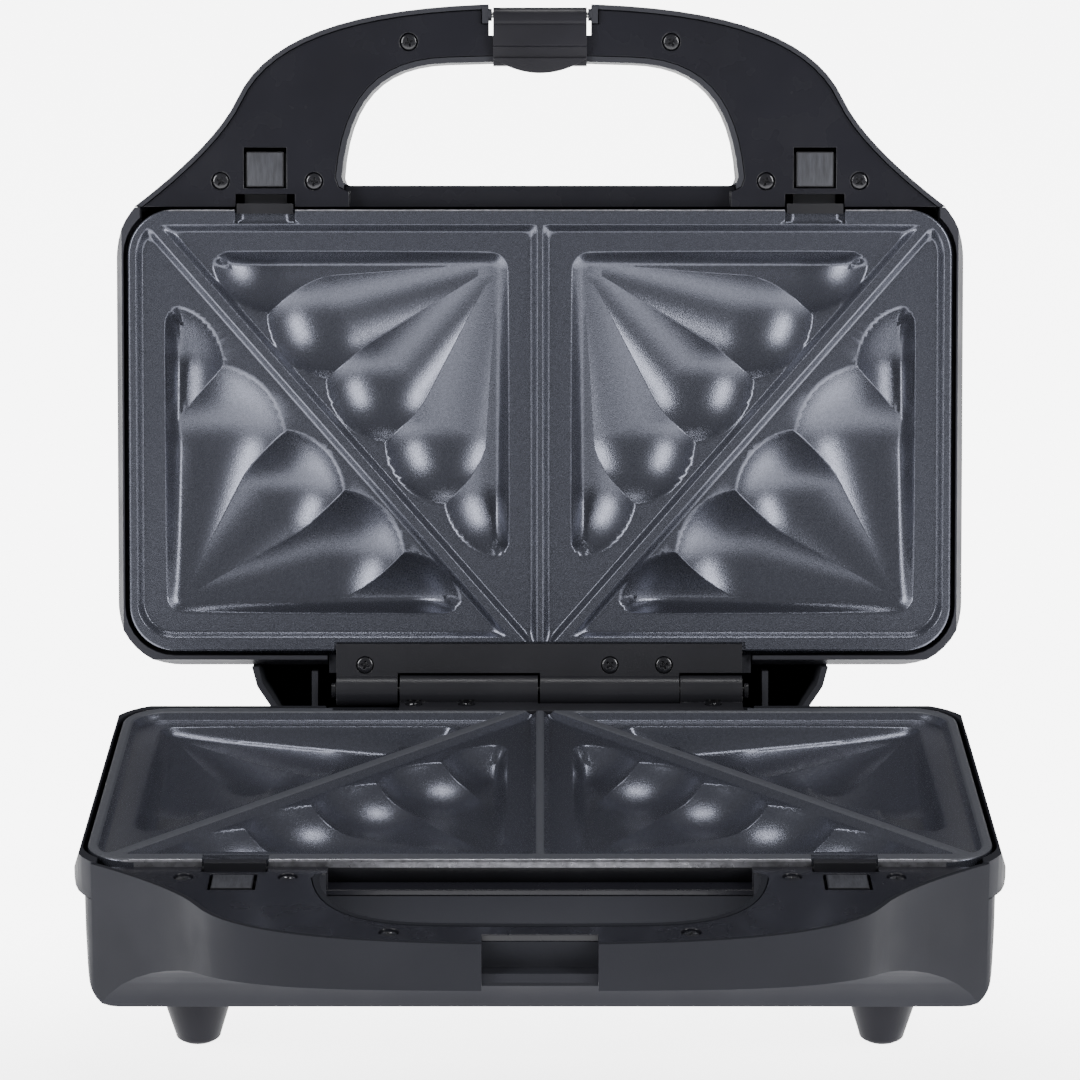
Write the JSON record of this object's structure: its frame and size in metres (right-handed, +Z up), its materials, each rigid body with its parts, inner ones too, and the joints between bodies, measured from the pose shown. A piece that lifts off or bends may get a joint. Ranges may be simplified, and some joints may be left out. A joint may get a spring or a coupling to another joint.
{
  "type": "sandwich toaster",
  "caption": "Hinged countertop sandwich toaster, shown open, with scalloped triangular pocket plates, arched carry handles, plate release clips and a swinging latch",
  "frame": {"origin": "on the ground under the middle of the overall box, lid open", "axes": "X to the user's right, Y to the back where the cord enters, Z up"},
  "size_m": [0.2788, 0.3009, 0.286],
  "materials": {
    "bezel": "satin",
    "ceramic": "pale moulding",
    "clip": "fine texture",
    "cover": "polished",
    "foot": "moulded",
    "green_lens": "clear tint",
    "heater": "dull annealed tube",
    "housing": "fine satin texture",
    "latch": "satin",
    "leaf": "dark satin",
    "light_pan": "pressed plain sheet",
    "nonstick": "speckled non-stick coating",
    "red_lens": "clear tint",
    "reflector": "pressed bright sheet",
    "rubber": "soft",
    "screw": "bright",
    "steel": "plain",
    "wire": "heat proof sleeve"
  },
  "bodies": {
    "base": {"base_housing": "housing", "base_bezel": "bezel", "base_handle_cover": "cover", "base_plate": "nonstick", "base_reflector": "reflector", "base_reflector_screws": "screw", "base_element": "heater", "base_element_clips": "steel", "base_release_pins": "steel", "base_release_springs": "steel", "base_hinge": "leaf", "base_hinge_screws": "screw", "base_cover_screws": "screw", "hinge_pin": "steel", "cord_gland": "rubber", "terminal_block": "ceramic", "thermostat": "ceramic", "thermal_fuse": "ceramic", "wiring": "wire", "foot_front_left": "foot", "foot_front_right": "foot", "foot_rear_left": "foot", "foot_rear_right": "foot", "pad_front_left": "rubber", "pad_front_right": "rubber", "pad_rear_left": "rubber", "pad_rear_right": "rubber"},
    "lid": {"lid_housing": "housing", "lid_bezel": "bezel", "lid_handle_cover": "cover", "lid_plate": "nonstick", "lid_reflector": "light_pan", "lid_reflector_screws": "screw", "lid_element": "heater", "lid_element_clips": "steel", "lid_release_pins": "steel", "lid_release_springs": "steel", "lid_hinge": "leaf", "lid_hinge_screws": "screw", "lid_cover_screws": "screw", "latch_pin": "steel", "lens_red": "red_lens", "lens_green": "green_lens", "lamp_holder": "ceramic"},
    "latch": {"latch": "latch"},
    "base_release_left": {"base_release_left": "clip"},
    "base_release_right": {"base_release_right": "clip"},
    "lid_release_left": {"lid_release_left": "clip"},
    "lid_release_right": {"lid_release_right": "clip"}
  },
  "joints": [
    {"name": "lid_hinge", "type": "hinge", "parent": "base", "child": "lid", "pos_m": [0, 0.0745, 0.06635], "axis": [1, 0, 0], "range_deg": [0, 102.4]},
    {"name": "latch_swing", "type": "hinge", "parent": "lid", "child": "latch", "pos_m": [0, 0.12338, 0.28239], "axis": [-1, 0, 0], "range_deg": [0, 120]},
    {"name": "base_release_left_press", "type": "hinge", "parent": "base", "child": "base_release_left", "pos_m": [-0.09, -0.0826, 0.053], "axis": [1, 0, 0], "range_deg": [0, 15], "stiffness_Nm_per_rad": 0.3, "springref_deg": -5.73},
    {"name": "base_release_right_press", "type": "hinge", "parent": "base", "child": "base_release_right", "pos_m": [0.09, -0.0826, 0.053], "axis": [1, 0, 0], "range_deg": [0, 15], "stiffness_Nm_per_rad": 0.3, "springref_deg": -5.73},
    {"name": "lid_release_left_press", "type": "hinge", "parent": "lid", "child": "lid_release_left", "pos_m": [-0.09, 0.11864, 0.2175], "axis": [-1, 0, 0], "range_deg": [0, 15], "stiffness_Nm_per_rad": 0.3, "springref_deg": -5.73},
    {"name": "lid_release_right_press", "type": "hinge", "parent": "lid", "child": "lid_release_right", "pos_m": [0.09, 0.11864, 0.2175], "axis": [-1, 0, 0], "range_deg": [0, 15], "stiffness_Nm_per_rad": 0.3, "springref_deg": -5.73}
  ]
}
